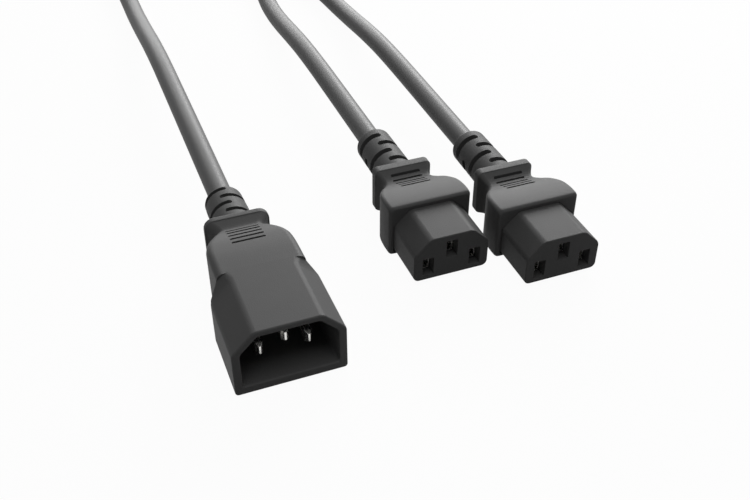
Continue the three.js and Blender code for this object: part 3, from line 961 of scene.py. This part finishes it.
# Noise sizes and bumps in mm. Shares say how much of each noise goes into colour, roughness or bump.
pvcLook = {
    "cloud": 9, "cloudDetail": 3, "grain": 0.32, "grainDetail": 2, "grainRough": 0.6,
    "cloudInColour": 0.7, "grainInColour": 0.3, "cloudInGloss": 0.08, "grainInGloss": 0.12,
    "cloudInBump": 0.6, "bump": 0.035, "ior": 1.5, "specular": 0.05,
}
cordLook = {
    "cloud": 12, "grain": 0.4, "detail": 2, "dark": 0.045, "pale": 0.056,
    "gloss": 0.46, "cloudInGloss": 0.06, "grainInGloss": 0.04, "shareInBump": 0.5, "bump": 0.008,
    "specular": 0.14,
}
nickelLook = {
    "cloud": 3, "lines": 0.3, "detail": 2, "lineRough": 0.5, "stretch": (1, 0.05, 1),
    "pale": (0.78, 0.77, 0.74, 1), "dark": (0.7, 0.69, 0.66, 1), "gloss": 0.2, "linesInGloss": 0.16,
    "bump": 0.01,
}
coreLook = {"cloud": 2.5, "detail": 2, "gloss": 0.4, "cloudInGloss": 0.1, "bump": 0.02}


def mouldedPvc(name, dark, pale, gloss):
    look, finish = pvcLook, Finish(name)
    cloud = finish.noise(look["cloud"], look["cloudDetail"])
    grain = finish.noise(look["grain"], look["grainDetail"], look["grainRough"])
    blend = cloud * look["cloudInColour"] + grain * look["grainInColour"]
    finish.set(
        Base_Color=finish.mixColours(blend, grey(dark), grey(pale)),
        Roughness=gloss + cloud * look["cloudInGloss"] + grain * look["grainInGloss"],
        IOR=look["ior"],
        Specular_IOR_Level=look["specular"],
    )
    finish.bump(grain + cloud * look["cloudInBump"], look["bump"])
    return finish.material


def cordPvc(name):
    look, finish = cordLook, Finish(name)
    cloud = finish.noise(look["cloud"], look["detail"])
    grain = finish.noise(look["grain"], look["detail"])
    finish.set(
        Base_Color=finish.mixColours(cloud, grey(look["dark"]), grey(look["pale"])),
        Roughness=look["gloss"] + cloud * look["cloudInGloss"] + grain * look["grainInGloss"],
        Specular_IOR_Level=look["specular"],
    )
    finish.bump(cloud * look["shareInBump"] + grain * look["shareInBump"], look["bump"])
    return finish.material


def nickelPlate(name):
    look, finish = nickelLook, Finish(name)
    cloud = finish.noise(look["cloud"], look["detail"])
    lines = finish.noise(look["lines"], look["detail"], look["lineRough"], look["stretch"])
    finish.set(
        Base_Color=finish.mixColours(cloud, look["pale"], look["dark"]),
        Metallic=1,
        Roughness=look["gloss"] + lines * look["linesInGloss"],
    )
    finish.bump(lines, look["bump"])
    return finish.material


def coreInsulation(name, colour, second):
    look, finish = coreLook, Finish(name)
    cloud = finish.noise(look["cloud"], look["detail"])
    finish.set(
        Base_Color=finish.mixColours(cloud, (*colour, 1), (*second, 1)),
        Roughness=look["gloss"] + cloud * look["cloudInGloss"],
    )
    finish.bump(cloud, look["bump"])
    return finish.material


finishes = {
    "shell": mouldedPvc("mouldedPvc", dark=0.042, pale=0.052, gloss=0.42),
    "carrier": mouldedPvc("mouldedNylon", dark=0.034, pale=0.042, gloss=0.4),
    "jacket": cordPvc("cordJacket"),
    "metal": nickelPlate("nickelPlate"),
    "insulation_line": coreInsulation("lineInsulation", (0.02, 0.02, 0.02), (0.03, 0.03, 0.03)),
    "insulation_neutral": coreInsulation("neutralInsulation", (0.75, 0.75, 0.73), (0.68, 0.68, 0.66)),
    "insulation_earth": coreInsulation("earthInsulation", (0.05, 0.32, 0.1), (0.04, 0.26, 0.08)),
}


def dress(piece, slot):
    if not piece.material_slots:
        piece.data.materials.append(finishes[slot])
    for materialSlot in piece.material_slots:
        materialSlot.material = finishes[slot]


slotOfNode = {part["node"]: part["material_slot"] for part in frame["record"]["subparts"]}
for name, node in frame["nodes"].items():
    dress(node, slotOfNode[name])
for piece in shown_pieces():
    if "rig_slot" in piece:
        dress(piece, piece["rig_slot"])
print("materials set")


# Floor, world and lamps.
studio = {
    "floor": 0.3,  # colour of the floor under the lamps
    "floorSize": 6,  # metres
    "floorPlace": (0, 1, -0.0001),
    "floorRough": 0.9,
    "shadow": 0.04,  # share of the floor's own shading that the camera sees
    "world": 0.18,  # strength of the even light
}
softboxes = {  # place, aim and size in metres, power in watts
    "rearSoftbox": {"place": (0.62, 0.62, 0.44), "aim": (0.05, 0.05, 0), "size": (0.7, 0.4), "power": 16},
    "backSoftbox": {"place": (0.35, 1.5, 0.45), "aim": (0.05, 0.05, 0), "size": (1.2, 0.35), "power": 17},
    "topSoftbox": {"place": (0, -0.25, 1.25), "aim": (0.05, 0.05, 0), "size": (0.8, 0.8), "power": 10},
}


# 1 where the camera, metal or glass looks at the background, and 0 for the rest of the light.
def seenRays(tree):
    path = tree.nodes.new("ShaderNodeLightPath")
    camera, glossy, clear = [
        Wire(tree, path.outputs[ray]) for ray in ("Is Camera Ray", "Is Glossy Ray", "Is Transmission Ray")
    ]
    return camera.math("MAXIMUM", camera.math("MAXIMUM", camera, glossy), clear)


def makeFloor():
    bpy.ops.mesh.primitive_plane_add(size=studio["floorSize"], location=studio["floorPlace"])
    floor = settle("floor")
    finish = Finish("paleFloor")
    finish.set(Base_Color=grey(studio["floor"]), Roughness=studio["floorRough"])
    white = finish.node("ShaderNodeEmission", "Emission", Color=grey(1), Strength=1)
    finish.cover(seenRays(finish.tree) * (1 - studio["shadow"]), white)
    floor.data.materials.append(finish.material)
    floor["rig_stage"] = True


def makeWorld():
    world = bpy.data.worlds.new("studioWorld")
    world.use_nodes = True
    background = world.node_tree.nodes["Background"]
    background.inputs["Color"].default_value = grey(1)
    strength = seenRays(world.node_tree) * (1 - studio["world"]) + studio["world"]
    world.node_tree.links.new(strength.socket, background.inputs["Strength"])
    bpy.context.scene.world = world


def addSoftbox(name, place, aim, size, power):
    bpy.ops.object.light_add(type="AREA", location=place)
    lamp = bpy.context.active_object
    lamp.name = name
    lamp.data.shape = "RECTANGLE"
    lamp.data.size, lamp.data.size_y = size
    lamp.data.energy = power
    lamp.rotation_euler = (Vector(aim) - Vector(place)).to_track_quat("-Z", "Y").to_euler()


makeFloor()
makeWorld()
for name, box in softboxes.items():
    addSoftbox(name, **box)
bpy.context.scene.view_settings.view_transform = "Standard"
print("studio set")

boxes = {"cad": cadBox, "visual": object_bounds()}
{key: [list(corner) for corner in box] for key, box in boxes.items()}
